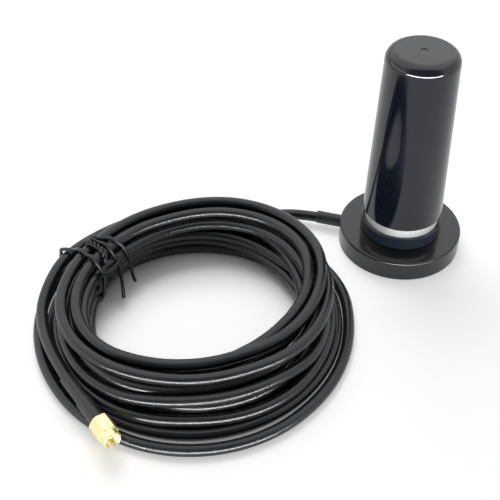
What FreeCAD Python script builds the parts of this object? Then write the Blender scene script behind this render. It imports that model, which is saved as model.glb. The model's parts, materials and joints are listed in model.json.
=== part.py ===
import FreeCAD, Part
import math
import os

# A cellular antenna screwed onto a round magnetic base, with its coaxial cable wound
# into a tied bundle that ends in a small threaded plug.
# Millimetres. +Z is up, the antenna stands on Z = 0, and its axis is the Z axis.

# Magnetic base
BASE_RADIUS = 28.5
BASE_TOP = 10.3
BASE_EDGE_ROUND = 1.0
BASE_LOW_CHAMFER = 0.4
BASE_SIDE_WALL = 2.0
BASE_TOP_WALL = 1.5
SKIRT_GAP = 0.3
PAD_THICKNESS = 0.9
MAGNET_WIDTH = 10.7
POLE_PLATE_THICKNESS = 1.2
SLIDE_GAP = 0.2
FIT = 0.05

# Threaded mount in the middle of the base
STUD_FLANGE_RADIUS = 13.0
STUD_NECK_RADIUS = 9.5
STUD_BORE_RADIUS = 6.5
STUD_NECK_RISE = 8.8
THREAD_RADIUS = 14.29
THREAD_RISE = 9.3
CONTACT_PAD_RADIUS = 3.2
CONTACT_PAD_THICKNESS = 1.0
CONTACT_SHANK_RADIUS = 1.95
STUD_INSULATOR_LENGTH = 10.3
SOLDER_TAIL = 1.2
SEAL_HEIGHT = 1.6
SEAL_MARGIN = 0.48
SEAL_CHAMFER = 0.4
THREAD_CHAMFER = 0.8
COLLAR_GAP = 0.15
COLLAR_WALL = 1.55
COLLAR_RISE = 6.15
COLLAR_CHAMFER = 0.3
COLLAR_FOOT_CHAMFER = 0.5

# Antenna: coupling ring, contact and radome
COUPLING_WALL = 2.76
COUPLING_TOP = 21.05
COUPLING_ROOF = 1.2
COUPLING_OPENING_RADIUS = 10.5
COUPLING_NECK_RADIUS = 14.2
COUPLING_NECK_WALL = 1.7
COUPLING_NECK_RISE = 6.6
COUPLING_CHAMFER = 0.4
DISC_THICKNESS = 3.0
BARREL_RADIUS = 2.95
BARREL_BORE_RADIUS = 2.05
BARREL_LIP_THICKNESS = 1.0
BARREL_FLANGE_RADIUS = 4.2
BARREL_FLANGE_THICKNESS = 1.0
BARREL_DROP = 1.1
BARREL_RISE = 6.6
BARREL_SLOT_DEPTH = 3.0
PLUNGER_NOSE_RADIUS = 1.3
PLUNGER_HEAD_LENGTH = 1.6
PLUNGER_NOSE_CHAMFER = 0.5
SPRING_WIRE_RADIUS = 0.2
SPRING_TURNS = 5
RADOME_GAP = 0.05
RADOME_FOOT_RADIUS = 18.4
RADOME_TOP_RADIUS = 15.8
RADOME_WALL = 1.8
RADOME_ROOF = 2.2
ANTENNA_HEIGHT = 103.8
RADOME_EDGE_ROUND = 4.56
RADOME_FOOT_CHAMFER = 0.4
GATE_MARK_RADIUS = 1.6
GATE_MARK_DEPTH = 0.25
BOARD_THICKNESS = 1.2
BOARD_WIDTH = 20.0
BOARD_HEADROOM = 9.4
COPPER_THICKNESS = 0.2
COPPER_MARGIN = 1.0
COPPER_LINE = 1.0
COPPER_LOW_ARM = 16.0
COPPER_HIGH_ARM = 13.0
FOAM_THICKNESS = 10.0
FOAM_DROP = 2.0

# Cable and its exit from the base
CABLE_RADIUS = 2.5
DIELECTRIC_RADIUS = 1.48
CORE_RADIUS = 0.45
CABLE_AZIMUTH = 163.0
CABLE_AXIS_HEIGHT = 5.0
JACKET_STRIP = 9.5
DIELECTRIC_STRIP = 5.5
SLEEVE_RADIUS = 3.03
SLEEVE_LENGTH = 12.0
SLEEVE_CHAMFER = 0.3
LEAD_FIRST_RUN = 19.5

# Wound bundle of cable
BUNDLE_CENTRE = (-95.6, -57.3)
LOW_RING_RADII = (46.9, 70.8)
LOW_RING_HEIGHT = 5.0
HIGH_RING_RADII = (43.5, 59.6)
HIGH_RING_LEVELS = (3.5, 23.8)
HIGH_RING_SHIFT = 3.2
HIGH_RING_TILT = 1.4
BUNDLE_EDGE_ROUND = 2.4

# Wire tie round the bundle
TIE_RADIUS = 0.75
TIE_AZIMUTHS = (137.0, 149.0)
TIE_LEAN = 8.0
TIE_TOP = 25.3
TIE_SHOULDER = 17.5
TIE_END_REACH = 11.0
TIE_END_DROP = 9.0

# Plug at the free end of the cable
PLUG_AZIMUTH = -54.5
NUT_REAR = (-129.6, -116.9, 9.9)
NUT_ACROSS_FLATS = 8.0
NUT_HEX_LENGTH = 7.6
NUT_LENGTH = 11.0
NUT_NOSE_RADIUS = 3.7
NUT_CHAMFER = 0.35
NUT_REAR_WALL = 1.6
NUT_RELIEF_END = 5.0
NUT_RELIEF_RADIUS = 3.2
NUT_THREAD_BORE_RADIUS = 2.95
PLUG_NECK_RADIUS = 2.58
RUNNING_CLEARANCE = 0.07
SNAP_GROOVE_DEPTH = 0.4
SNAP_RING_THICKNESS = 0.35
SNAP_RING_RADIUS = 3.05
GASKET_FACE = 4.8
GASKET_THICKNESS = 0.8
GASKET_RADIUS = 2.88
MATING_TUBE_RADIUS = 2.3
MATING_TUBE_BORE_RADIUS = 2.06
MATING_TUBE_END = 8.0
PLUG_FLANGE_THICKNESS = 1.1
FERRULE_RADIUS = 2.9
FERRULE_LENGTH = 11.3
FERRULE_ACROSS_FLATS = 5.4
FERRULE_ROUND_END = 2.3
STEM_RADIUS = 2.0
HEAT_SHRINK_WALL = 0.3
HEAT_SHRINK_LENGTH = 27.0
PLUG_INSULATOR_END = 7.2
PIN_RADIUS = 0.46
PIN_CUP_RADIUS = 0.62
PIN_END = 9.6
PIN_POINT = 0.6

ORIGIN = FreeCAD.Vector(0, 0, 0)
UP = FreeCAD.Vector(0, 0, 1)


def polar(radius, azimuth, height=0.0):
    """A point given by its distance from the Z axis, its bearing in degrees and its height."""
    angle = math.radians(azimuth)
    return FreeCAD.Vector(radius * math.cos(angle), radius * math.sin(angle), height)


def turned(outline):
    """The solid swept out by a closed outline of (radius, height) points turned about the Z axis."""
    points = [FreeCAD.Vector(radius, 0, height) for radius, height in outline]
    wire = Part.makePolygon(points + points[:1])
    return Part.Face(wire).revolve(ORIGIN, UP, 360)


def ring(inner, outer, low, high):
    """A round ring about the Z axis, or a disc where inner is 0."""
    return turned([(inner, low), (outer, low), (outer, high), (inner, high)])


def rounded(solid, size, *places):
    """The solid with its circular edges of the given (radius, height) places rounded."""
    edges = []
    for radius, height in places:
        for edge in solid.Edges:
            curve = edge.Curve
            if not isinstance(curve, Part.Circle):
                continue
            same_size = abs(curve.Radius - radius) < 1e-3
            same_place = abs(edge.Vertexes[0].Z - height) < 1e-3
            if same_size and same_place and not any(edge.isSame(e) for e in edges):
                edges.append(edge)
    return solid.makeFillet(size, edges)


def laid_along(solid, direction, start):
    """The solid moved from the Z axis to a line that starts at a point and has a direction."""
    solid.Placement = FreeCAD.Placement(start, FreeCAD.Rotation(UP, direction))
    return solid


def path_of(points):
    """Straight runs joined by tangent arcs: each arc is as large as its two runs allow."""
    edges = []
    radii = []
    here = points[0]
    for before, corner, after in zip(points, points[1:], points[2:]):
        back = before - corner
        ahead = after - corner
        setback = 0.45 * min(back.Length, ahead.Length)
        half_turn = (math.pi - back.getAngle(ahead)) / 2
        radius = setback / math.tan(half_turn)
        back.normalize()
        ahead.normalize()
        start = corner + back * setback
        end = corner + ahead * setback
        inward = back + ahead
        inward.normalize()
        middle = corner + inward * (radius / math.cos(half_turn) - radius)
        edges.append(Part.LineSegment(here, start).toShape())
        edges.append(Part.Arc(start, middle, end).toShape())
        radii.append(radius)
        here = end
    edges.append(Part.LineSegment(here, points[-1]).toShape())
    return Part.Wire(edges), radii


def tube(points, radius):
    """A round solid along the path through the points, with the path's length and arc radii."""
    path, radii = path_of(points)
    heading = points[1] - points[0]
    rim = Part.Wire(Part.makeCircle(radius, points[0], heading))
    return path.makePipeShell([rim], True, False), path.Length, radii


# Heights that several pieces share
MAGNET_LOW = PAD_THICKNESS
PLATE_HIGH = BASE_TOP - BASE_TOP_WALL
PLATE_LOW = PLATE_HIGH - POLE_PLATE_THICKNESS
CAVITY_RADIUS = BASE_RADIUS - BASE_SIDE_WALL
CABLE_DIRECTION = polar(1, CABLE_AZIMUTH)
CABLE_EXIT = polar(BASE_RADIUS, CABLE_AZIMUTH, CABLE_AXIS_HEIGHT)


def radial_hole(radius, inner, outer):
    """A round bar along the cable's line out of the base."""
    bar = ring(0, radius, 0, outer - inner)
    return laid_along(bar, CABLE_DIRECTION, polar(inner, CABLE_AZIMUTH, CABLE_AXIS_HEIGHT))


def base_shell():
    """Moulded cap of the base: open below, with a hole for the mount and one for the cable."""
    outline = [
        (STUD_NECK_RADIUS + FIT, PLATE_HIGH),
        (CAVITY_RADIUS, PLATE_HIGH),
        (CAVITY_RADIUS, SKIRT_GAP),
        (BASE_RADIUS - BASE_LOW_CHAMFER, SKIRT_GAP),
        (BASE_RADIUS, SKIRT_GAP + BASE_LOW_CHAMFER),
        (BASE_RADIUS, BASE_TOP),
        (STUD_NECK_RADIUS + FIT, BASE_TOP),
    ]
    cap = rounded(turned(outline), BASE_EDGE_ROUND, (BASE_RADIUS, BASE_TOP))
    inner = CAVITY_RADIUS - BASE_SIDE_WALL
    return cap.cut(radial_hole(SLEEVE_RADIUS + FIT, inner, BASE_RADIUS + BASE_SIDE_WALL))


def base_pad():
    """Thin rubber disc that the base stands on."""
    return ring(0, CAVITY_RADIUS - SLIDE_GAP, 0, PAD_THICKNESS)


def ring_magnet():
    """Magnet ring with one channel cut across it for the cable."""
    outer = CAVITY_RADIUS - SLIDE_GAP
    body = ring(outer - MAGNET_WIDTH, outer, MAGNET_LOW, PLATE_LOW)
    half_width = CABLE_RADIUS + 2 * SLIDE_GAP
    channel = Part.makeBox(outer + 1, 2 * half_width, PLATE_LOW - MAGNET_LOW + 2)
    channel.translate(FreeCAD.Vector(0, -half_width, MAGNET_LOW - 1))
    channel.rotate(ORIGIN, UP, CABLE_AZIMUTH)
    return body.cut(channel)


def pole_plate():
    """Steel disc between the magnet and the roof of the base."""
    return ring(STUD_FLANGE_RADIUS + SLIDE_GAP, CAVITY_RADIUS - SLIDE_GAP, PLATE_LOW, PLATE_HIGH)


def mount_stud():
    """Brass bush: its flange lies under the roof of the base and its neck stands up through it."""
    outline = [
        (STUD_BORE_RADIUS, PLATE_LOW),
        (STUD_FLANGE_RADIUS, PLATE_LOW),
        (STUD_FLANGE_RADIUS, PLATE_HIGH),
        (STUD_NECK_RADIUS, PLATE_HIGH),
        (STUD_NECK_RADIUS, BASE_TOP + STUD_NECK_RISE),
        (STUD_BORE_RADIUS, BASE_TOP + STUD_NECK_RISE),
    ]
    return turned(outline)


def mount_thread():
    """Brass ring that clamps the bush to the roof and carries the thread for the antenna."""
    high = BASE_TOP + THREAD_RISE
    outline = [
        (STUD_NECK_RADIUS + FIT, BASE_TOP),
        (THREAD_RADIUS, BASE_TOP),
        (THREAD_RADIUS, high - THREAD_CHAMFER),
        (THREAD_RADIUS - THREAD_CHAMFER, high),
        (STUD_NECK_RADIUS + FIT, high),
    ]
    return turned(outline)


INSULATOR_HIGH = PLATE_LOW + STUD_INSULATOR_LENGTH
PAD_HIGH = INSULATOR_HIGH + CONTACT_PAD_THICKNESS


def mount_insulator():
    """Insulating plug in the bore of the bush."""
    return ring(CONTACT_SHANK_RADIUS + FIT, STUD_BORE_RADIUS - FIT, PLATE_LOW, INSULATOR_HIGH)


def mount_contact():
    """Centre contact: a flat pad on a shank whose tail is soldered to the cable's core."""
    tail = CABLE_AXIS_HEIGHT - SOLDER_TAIL
    outline = [
        (0, tail),
        (CONTACT_SHANK_RADIUS, tail),
        (CONTACT_SHANK_RADIUS, INSULATOR_HIGH),
        (CONTACT_PAD_RADIUS, INSULATOR_HIGH),
        (CONTACT_PAD_RADIUS, PAD_HIGH),
        (0, PAD_HIGH),
    ]
    return turned(outline)


COUPLING_BORE_RADIUS = THREAD_RADIUS + FIT
COUPLING_RADIUS = COUPLING_BORE_RADIUS + COUPLING_WALL
COUPLING_LOW = BASE_TOP + SEAL_HEIGHT
COLLAR_BORE_RADIUS = COUPLING_RADIUS + COLLAR_GAP
COLLAR_OUTER_RADIUS = COLLAR_BORE_RADIUS + COLLAR_WALL


def seal_ring():
    """Rubber ring that keeps water out of the screwed joint."""
    inner = COUPLING_BORE_RADIUS + SEAL_MARGIN
    outer = COUPLING_RADIUS - SEAL_MARGIN
    outline = [
        (inner + SEAL_CHAMFER, BASE_TOP),
        (outer - SEAL_CHAMFER, BASE_TOP),
        (outer, BASE_TOP + SEAL_CHAMFER),
        (outer, COUPLING_LOW - SEAL_CHAMFER),
        (outer - SEAL_CHAMFER, COUPLING_LOW),
        (inner + SEAL_CHAMFER, COUPLING_LOW),
        (inner, COUPLING_LOW - SEAL_CHAMFER),
        (inner, BASE_TOP + SEAL_CHAMFER),
    ]
    return turned(outline)


def collar():
    """Black ring on the base round the foot of the antenna, undercut where it meets the base."""
    high = BASE_TOP + COLLAR_RISE
    outline = [
        (COLLAR_BORE_RADIUS, BASE_TOP),
        (COLLAR_OUTER_RADIUS - COLLAR_FOOT_CHAMFER, BASE_TOP),
        (COLLAR_OUTER_RADIUS, BASE_TOP + COLLAR_FOOT_CHAMFER),
        (COLLAR_OUTER_RADIUS, high - COLLAR_CHAMFER),
        (COLLAR_OUTER_RADIUS - COLLAR_CHAMFER, high),
        (COLLAR_BORE_RADIUS, high),
    ]
    return turned(outline)


def coupling_ring():
    """Plated ring with an internal thread that screws the antenna onto the mount."""
    roof_low = COUPLING_TOP - COUPLING_ROOF
    neck_bore = COUPLING_NECK_RADIUS - COUPLING_NECK_WALL
    neck_high = COUPLING_TOP + COUPLING_NECK_RISE
    outline = [
        (COUPLING_BORE_RADIUS, COUPLING_LOW),
        (COUPLING_RADIUS - COUPLING_CHAMFER, COUPLING_LOW),
        (COUPLING_RADIUS, COUPLING_LOW + COUPLING_CHAMFER),
        (COUPLING_RADIUS, COUPLING_TOP - COUPLING_CHAMFER),
        (COUPLING_RADIUS - COUPLING_CHAMFER, COUPLING_TOP),
        (COUPLING_NECK_RADIUS, COUPLING_TOP),
        (COUPLING_NECK_RADIUS, neck_high),
        (neck_bore, neck_high),
        (neck_bore, COUPLING_TOP),
        (COUPLING_OPENING_RADIUS, COUPLING_TOP),
        (COUPLING_OPENING_RADIUS, roof_low),
        (COUPLING_BORE_RADIUS, roof_low),
    ]
    return turned(outline)


DISC_HIGH = COUPLING_TOP + DISC_THICKNESS
BARREL_LOW = COUPLING_TOP - BARREL_DROP
BARREL_HIGH = DISC_HIGH + BARREL_FLANGE_THICKNESS + BARREL_RISE
BARREL_BORE_LOW = BARREL_LOW + BARREL_LIP_THICKNESS
BARREL_BORE_HIGH = BARREL_HIGH - BARREL_SLOT_DEPTH - BARREL_LIP_THICKNESS
PLUNGER_HEAD_LOW = BARREL_BORE_LOW + SLIDE_GAP
PLUNGER_HEAD_HIGH = PLUNGER_HEAD_LOW + PLUNGER_HEAD_LENGTH


def contact_disc():
    """Insulating disc in the neck of the coupling ring."""
    outer = COUPLING_NECK_RADIUS - COUPLING_NECK_WALL - FIT
    return ring(BARREL_RADIUS + FIT, outer, COUPLING_TOP, DISC_HIGH)


def contact_barrel():
    """Brass barrel of the antenna's contact, slotted above to hold the circuit board."""
    outline = [
        (PLUNGER_NOSE_RADIUS + FIT, BARREL_LOW),
        (BARREL_RADIUS, BARREL_LOW),
        (BARREL_RADIUS, DISC_HIGH),
        (BARREL_FLANGE_RADIUS, DISC_HIGH),
        (BARREL_FLANGE_RADIUS, DISC_HIGH + BARREL_FLANGE_THICKNESS),
        (BARREL_RADIUS, DISC_HIGH + BARREL_FLANGE_THICKNESS),
        (BARREL_RADIUS, BARREL_HIGH),
        (0, BARREL_HIGH),
        (0, BARREL_BORE_HIGH),
        (BARREL_BORE_RADIUS, BARREL_BORE_HIGH),
        (BARREL_BORE_RADIUS, BARREL_BORE_LOW),
        (PLUNGER_NOSE_RADIUS + FIT, BARREL_BORE_LOW),
    ]
    width = BOARD_THICKNESS + 2 * FIT
    slot = Part.makeBox(4 * BARREL_RADIUS, width, BARREL_SLOT_DEPTH + 1)
    slot.translate(FreeCAD.Vector(-2 * BARREL_RADIUS, -width / 2, BARREL_HIGH - BARREL_SLOT_DEPTH))
    return turned(outline).cut(slot)


def contact_plunger():
    """Sprung pin that presses on the mount's centre contact."""
    outline = [
        (0, PAD_HIGH),
        (PLUNGER_NOSE_RADIUS - PLUNGER_NOSE_CHAMFER, PAD_HIGH),
        (PLUNGER_NOSE_RADIUS, PAD_HIGH + PLUNGER_NOSE_CHAMFER),
        (PLUNGER_NOSE_RADIUS, PLUNGER_HEAD_LOW),
        (BARREL_BORE_RADIUS - FIT, PLUNGER_HEAD_LOW),
        (BARREL_BORE_RADIUS - FIT, PLUNGER_HEAD_HIGH),
        (0, PLUNGER_HEAD_HIGH),
    ]
    return turned(outline)


def contact_spring():
    """Coil spring between the plunger's head and the closed end of the barrel."""
    low = PLUNGER_HEAD_HIGH + SPRING_WIRE_RADIUS + FIT
    high = BARREL_BORE_HIGH - SPRING_WIRE_RADIUS - FIT
    coil_radius = BARREL_BORE_RADIUS - SPRING_WIRE_RADIUS - 2 * FIT
    helix = Part.makeHelix((high - low) / SPRING_TURNS, high - low, coil_radius)
    side = FreeCAD.Vector(SPRING_WIRE_RADIUS, 0, 0)
    rise = FreeCAD.Vector(0, 0, SPRING_WIRE_RADIUS)
    middle = FreeCAD.Vector(coil_radius, 0, 0)
    corners = [middle + side, middle + rise, middle - side, middle - rise, middle + side]
    spring = Part.Wire(helix.Edges).makePipeShell([Part.makePolygon(corners)], True, True)
    spring.translate(FreeCAD.Vector(0, 0, low))
    return spring


RADOME_LOW = COUPLING_TOP + RADOME_GAP
RADOME_CAVITY_LOW = COUPLING_TOP + COUPLING_NECK_RISE + FIT
RADOME_CAVITY_HIGH = ANTENNA_HEIGHT - RADOME_ROOF


def radome_radius(height):
    """Outer radius of the tapered cover at a height."""
    share = (height - RADOME_LOW) / (ANTENNA_HEIGHT - RADOME_LOW)
    return RADOME_FOOT_RADIUS + (RADOME_TOP_RADIUS - RADOME_FOOT_RADIUS) * share


def radome():
    """Tapered plastic cover with a well rounded top edge and a small moulding mark."""
    foot_chamfer_high = RADOME_LOW + RADOME_FOOT_CHAMFER
    outside = turned([
        (0, RADOME_LOW),
        (RADOME_FOOT_RADIUS - RADOME_FOOT_CHAMFER, RADOME_LOW),
        (radome_radius(foot_chamfer_high), foot_chamfer_high),
        (RADOME_TOP_RADIUS, ANTENNA_HEIGHT),
        (0, ANTENNA_HEIGHT),
    ])
    outside = rounded(outside, RADOME_EDGE_ROUND, (RADOME_TOP_RADIUS, ANTENNA_HEIGHT))
    slope = RADOME_EDGE_ROUND - RADOME_WALL
    inside = turned([
        (0, RADOME_CAVITY_LOW),
        (radome_radius(RADOME_CAVITY_LOW) - RADOME_WALL, RADOME_CAVITY_LOW),
        (radome_radius(RADOME_CAVITY_HIGH - slope) - RADOME_WALL, RADOME_CAVITY_HIGH - slope),
        (radome_radius(RADOME_CAVITY_HIGH) - RADOME_WALL - slope, RADOME_CAVITY_HIGH),
        (0, RADOME_CAVITY_HIGH),
    ])
    socket = ring(0, COUPLING_NECK_RADIUS + FIT, RADOME_LOW - 1, RADOME_CAVITY_LOW + FIT)
    mark = ring(0, GATE_MARK_RADIUS, ANTENNA_HEIGHT - GATE_MARK_DEPTH, ANTENNA_HEIGHT + 1)
    return outside.cut(inside).cut(socket).cut(mark)


def board_plate(outline, near, thickness):
    """A flat plate in an upright plane: its outline is (across, height) points."""
    points = [FreeCAD.Vector(across, near, height) for across, height in outline]
    face = Part.Face(Part.makePolygon(points + points[:1]))
    return face.extrude(FreeCAD.Vector(0, thickness, 0))


BOARD_TOP = RADOME_CAVITY_HIGH - BOARD_HEADROOM
FOAM_HIGH = BOARD_TOP - FOAM_DROP
FOAM_LOW = FOAM_HIGH - FOAM_THICKNESS


def circuit_board():
    """Upright circuit board whose foot sits in the slot of the contact barrel."""
    half = BOARD_WIDTH / 2
    foot = BARREL_RADIUS
    foot_low = BARREL_HIGH - BARREL_SLOT_DEPTH
    shoulder = BARREL_HIGH + SLIDE_GAP
    outline = [(-foot, foot_low), (foot, foot_low), (foot, shoulder), (half, shoulder), (half, BOARD_TOP)]
    outline += [(-half, BOARD_TOP), (-half, shoulder), (-foot, shoulder)]
    return board_plate(outline, -BOARD_THICKNESS / 2, BOARD_THICKNESS)


def board_copper():
    """Printed radiator on one face of the board: a feed line between a low arm and a high arm."""
    half = BOARD_WIDTH / 2 - COPPER_MARGIN
    line = COPPER_LINE
    inside = half - 3 * line
    low = BARREL_HIGH + COPPER_MARGIN
    web = low + 3 * line
    low_arm = low + COPPER_LOW_ARM
    high_arm_top = FOAM_LOW - COPPER_MARGIN
    high_arm = high_arm_top - COPPER_HIGH_ARM
    top = BOARD_TOP - COPPER_MARGIN
    right = [(half, low), (half, low_arm), (inside, low_arm), (inside, web), (line, web), (line, high_arm)]
    right += [(half, high_arm), (half, high_arm_top), (line, high_arm_top), (line, top)]
    left = [(-across, height) for across, height in reversed(right)]
    return board_plate(right + left, -BOARD_THICKNESS / 2 - COPPER_THICKNESS, COPPER_THICKNESS)


def foam_spacer():
    """Foam disc that stops the top of the board from rattling in the cover."""
    low_radius = radome_radius(FOAM_LOW) - RADOME_WALL - FIT
    high_radius = radome_radius(FOAM_HIGH) - RADOME_WALL - FIT
    body = turned([(0, FOAM_LOW), (low_radius, FOAM_LOW), (high_radius, FOAM_HIGH), (0, FOAM_HIGH)])
    half = BOARD_THICKNESS / 2 + COPPER_THICKNESS + FIT
    slot = Part.makeBox(BOARD_WIDTH + 2 * FIT, 2 * half, FOAM_HIGH - FOAM_LOW + 2)
    slot.translate(FreeCAD.Vector(-BOARD_WIDTH / 2 - FIT, -half, FOAM_LOW - 1))
    return body.cut(slot)


def cable_inner():
    """The cable inside the base, stripped in steps down to the core at the centre contact."""
    start = CONTACT_SHANK_RADIUS
    outline = [
        (0, start + FIT),
        (CORE_RADIUS, start + FIT),
        (CORE_RADIUS, DIELECTRIC_STRIP),
        (DIELECTRIC_RADIUS, DIELECTRIC_STRIP),
        (DIELECTRIC_RADIUS, JACKET_STRIP),
        (CABLE_RADIUS, JACKET_STRIP),
        (CABLE_RADIUS, BASE_RADIUS),
        (0, BASE_RADIUS),
    ]
    return laid_along(turned(outline), CABLE_DIRECTION, FreeCAD.Vector(0, 0, CABLE_AXIS_HEIGHT))


def cable_sleeve():
    """Rubber sleeve that stiffens the cable where it leaves the base."""
    start = CAVITY_RADIUS + SLIDE_GAP
    length = BASE_RADIUS + SLEEVE_LENGTH - start
    outline = [
        (CABLE_RADIUS + FIT, 0),
        (SLEEVE_RADIUS, 0),
        (SLEEVE_RADIUS, length - SLEEVE_CHAMFER),
        (SLEEVE_RADIUS - SLEEVE_CHAMFER, length),
        (CABLE_RADIUS + FIT, length),
    ]
    return laid_along(turned(outline), CABLE_DIRECTION, polar(start, CABLE_AZIMUTH, CABLE_AXIS_HEIGHT))


LEAD_ROUTE = [
    CABLE_EXIT,
    CABLE_EXIT + CABLE_DIRECTION * LEAD_FIRST_RUN,
    FreeCAD.Vector(-63.0, 15.9, 2.6),
    FreeCAD.Vector(-81.0, 13.4, 2.6),
    FreeCAD.Vector(-97.5, 9.6, 2.6),
]

PLUG_DIRECTION = polar(1, PLUG_AZIMUTH)
PLUG_START = FreeCAD.Vector(*NUT_REAR)
JACKET_END = PLUG_START - PLUG_DIRECTION * (FERRULE_LENGTH + PLUG_FLANGE_THICKNESS + RUNNING_CLEARANCE)
END_STRAIGHT = 26.4
END_ROUTE = [
    FreeCAD.Vector(-124.5, -2.5, 16.8),
    FreeCAD.Vector(-141.0, -11.5, 15.9),
    FreeCAD.Vector(-155.0, -27.5, 13.8),
    FreeCAD.Vector(-161.7, -43.0, 10.8),
    FreeCAD.Vector(-163.0, -60.0, 8.4),
    JACKET_END - PLUG_DIRECTION * END_STRAIGHT,
    JACKET_END,
]


def cable_piece(name, route):
    """A free stretch of the cable, with its length, its volume and its arc radii printed."""
    solid, length, radii = tube(route, CABLE_RADIUS)
    share = solid.Volume / (math.pi * CABLE_RADIUS ** 2 * length)
    print(name, "length %.1f" % length, "volume / (section x length) %.4f" % share)
    print(name, "arc radii", ["%.1f" % radius for radius in radii])
    return solid


def cable_lead():
    """The cable from the base along the ground to the bundle."""
    return cable_piece("cable_lead", LEAD_ROUTE)


def cable_end():
    """The last turn of the cable, which leaves the bundle for the plug."""
    return cable_piece("cable_end", END_ROUTE)


def cable_coil():
    """Outer shape of the wound bundle: a wide flat ring of turns and a tall one piled on it."""
    centre = FreeCAD.Vector(BUNDLE_CENTRE[0], BUNDLE_CENTRE[1], 0)
    low = ring(*LOW_RING_RADII, 0, LOW_RING_HEIGHT)
    low = rounded(low, BUNDLE_EDGE_ROUND, (LOW_RING_RADII[1], 0), (LOW_RING_RADII[1], LOW_RING_HEIGHT))
    high = ring(*HIGH_RING_RADII, *HIGH_RING_LEVELS)
    crest = HIGH_RING_LEVELS[1]
    high = rounded(high, BUNDLE_EDGE_ROUND, (HIGH_RING_RADII[0], crest), (HIGH_RING_RADII[1], crest))
    high.rotate(FreeCAD.Vector(0, 0, LOW_RING_HEIGHT), FreeCAD.Vector(1, 0, 0), HIGH_RING_TILT)
    high.translate(FreeCAD.Vector(0, HIGH_RING_SHIFT, 0))
    bundle = low.fuse(high).removeSplitter()
    bundle.translate(centre)
    return bundle


def bundle_point(radius, azimuth, height):
    """A point placed from the middle of the bundle."""
    return polar(radius, azimuth, height) + FreeCAD.Vector(BUNDLE_CENTRE[0], BUNDLE_CENTRE[1], 0)


def tie_strand(azimuth, end_lean):
    """A strand of the tie round the bundle's section, from its free end inside to its foot below."""
    low = TIE_RADIUS + SLIDE_GAP
    low_inner, low_outer = LOW_RING_RADII
    inner, outer = [radius + HIGH_RING_SHIFT / 2 for radius in HIGH_RING_RADII]
    inside = azimuth + TIE_LEAN
    outline = [
        (inner - TIE_END_REACH, inside + end_lean, TIE_TOP - 2 * TIE_END_DROP),
        (inner - 2 * TIE_RADIUS, inside, TIE_TOP - TIE_END_DROP),
        (inner, inside, TIE_TOP - 2 * TIE_RADIUS),
        (inner + TIE_LEAN, (inside + azimuth) / 2, TIE_TOP),
        (outer, azimuth, TIE_TOP - TIE_RADIUS),
        (low_outer - 2 * TIE_RADIUS, azimuth, TIE_SHOULDER),
        (low_outer + TIE_RADIUS, azimuth, LOW_RING_HEIGHT),
        (low_outer - 2 * TIE_RADIUS, azimuth, low),
        (outer, (inside + azimuth) / 2, low),
        (low_inner, inside, low),
    ]
    points = [bundle_point(radius, bearing, height) for radius, bearing, height in outline]
    return tube(points, TIE_RADIUS)[0], points[-1]


def wire_tie():
    """Soft wire wound twice round the bundle, with two free ends that point into its middle."""
    first, start = tie_strand(TIE_AZIMUTHS[0], 0)
    second, end = tie_strand(TIE_AZIMUTHS[1], TIE_LEAN / 2)
    link = Part.makeCylinder(TIE_RADIUS, start.distanceToPoint(end), start, end - start)
    return first.fuse(second).fuse(link)


def on_plug_axis(solid):
    """A piece of the plug moved to the plug's axis, measured from the rear face of its nut."""
    return laid_along(solid, PLUG_DIRECTION, PLUG_START)


def hexagon(across_flats, low, high):
    """A six-sided prism about the Z axis."""
    corners = [polar(across_flats / math.sqrt(3), 60 * k + 30, low) for k in range(7)]
    return Part.Face(Part.makePolygon(corners)).extrude(FreeCAD.Vector(0, 0, high - low))


NUT_BORE_RADIUS = PLUG_NECK_RADIUS + RUNNING_CLEARANCE
FLANGE_REAR = -RUNNING_CLEARANCE - PLUG_FLANGE_THICKNESS
FERRULE_REAR = FLANGE_REAR - FERRULE_LENGTH
GROOVE_LOW = NUT_REAR_WALL + RUNNING_CLEARANCE
GROOVE_HIGH = GROOVE_LOW + SNAP_RING_THICKNESS + RUNNING_CLEARANCE


def coupling_nut():
    """Hexagon nut that turns freely on the plug's neck, with a round threaded nose."""
    corner = NUT_ACROSS_FLATS / math.sqrt(3)
    chamfered = turned([
        (0, 0),
        (corner - NUT_CHAMFER, 0),
        (corner + NUT_CHAMFER, 2 * NUT_CHAMFER),
        (corner + NUT_CHAMFER, NUT_HEX_LENGTH - 2 * NUT_CHAMFER),
        (corner - NUT_CHAMFER, NUT_HEX_LENGTH),
        (0, NUT_HEX_LENGTH),
    ])
    nose = turned([
        (0, 0),
        (NUT_NOSE_RADIUS, 0),
        (NUT_NOSE_RADIUS, NUT_LENGTH - NUT_CHAMFER),
        (NUT_NOSE_RADIUS - NUT_CHAMFER, NUT_LENGTH),
        (0, NUT_LENGTH),
    ])
    bore = turned([
        (0, -1),
        (NUT_BORE_RADIUS, -1),
        (NUT_BORE_RADIUS, NUT_REAR_WALL),
        (NUT_RELIEF_RADIUS, NUT_REAR_WALL),
        (NUT_RELIEF_RADIUS, NUT_RELIEF_END),
        (NUT_THREAD_BORE_RADIUS, NUT_RELIEF_END),
        (NUT_THREAD_BORE_RADIUS, NUT_LENGTH - NUT_CHAMFER),
        (NUT_THREAD_BORE_RADIUS + NUT_CHAMFER, NUT_LENGTH + FIT),
        (0, NUT_LENGTH + FIT),
    ])
    head = hexagon(NUT_ACROSS_FLATS, 0, NUT_HEX_LENGTH).common(chamfered)
    return on_plug_axis(head.fuse(nose).cut(bore))


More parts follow.
